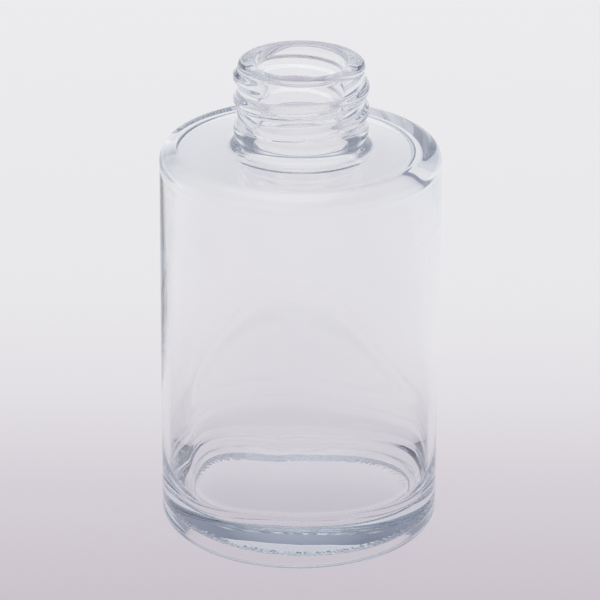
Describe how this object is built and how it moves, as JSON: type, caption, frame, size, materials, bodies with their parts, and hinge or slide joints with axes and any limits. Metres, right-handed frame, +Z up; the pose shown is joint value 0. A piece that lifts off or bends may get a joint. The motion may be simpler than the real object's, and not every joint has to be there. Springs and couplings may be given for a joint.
{
  "type": "glass foundation bottle",
  "caption": "Empty round clear glass cosmetics bottle with a heavy base, a nearly flat shoulder and a short screw neck, open at the top.",
  "frame": {"origin": "centre of the underside, on the surface that the bottle stands on", "axes": "+Z up, along the bottle's axis from the base to the mouth; the thread's upper end begins 30 degrees from -Y towards -X"},
  "size_m": [0.037, 0.037, 0.0651],
  "materials": {
    "clear_glass": "clear flint glass, fire polished, faintly blue-grey where it is thick"
  },
  "bodies": {
    "root": {"glass_bottle": "clear_glass"}
  },
  "joints": []
}
